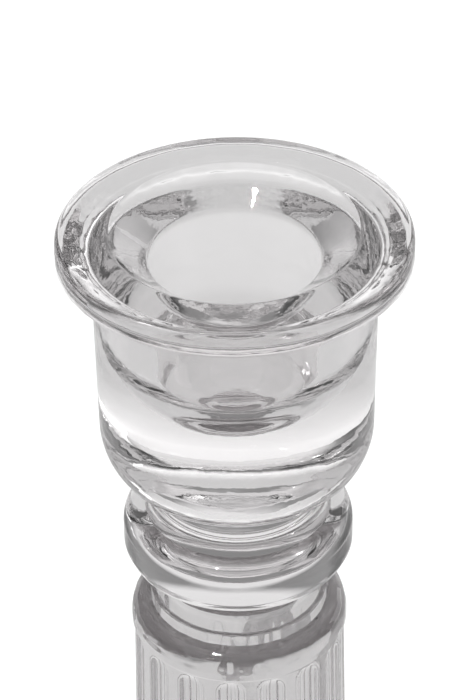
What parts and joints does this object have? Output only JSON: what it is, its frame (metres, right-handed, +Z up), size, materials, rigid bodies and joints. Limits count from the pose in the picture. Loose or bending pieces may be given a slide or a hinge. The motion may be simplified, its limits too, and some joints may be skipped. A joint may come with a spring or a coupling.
{
  "type": "glass candlestick",
  "caption": "Clear pressed-glass candlestick: flared funnel-mouthed taper socket on a short neck, collar ring, fluted column and round stepped hollow foot.",
  "frame": {"origin": "middle of the plane that the foot stands on", "axes": "+Z up along the axis on which every piece is turned; -Y faces a viewer in front"},
  "size_m": [0.105, 0.105, 0.23],
  "materials": {
    "pressed_glass": "clear, fire-polished, faint mould texture",
    "wafer_glass": "clear, smooth, bulging edge"
  },
  "bodies": {
    "root": {"candle_socket": "pressed_glass", "neck_wafer": "wafer_glass", "collar_ring": "pressed_glass", "waist_wafer": "wafer_glass", "fluted_column": "pressed_glass", "foot_wafer": "wafer_glass", "round_foot": "pressed_glass"}
  },
  "joints": []
}
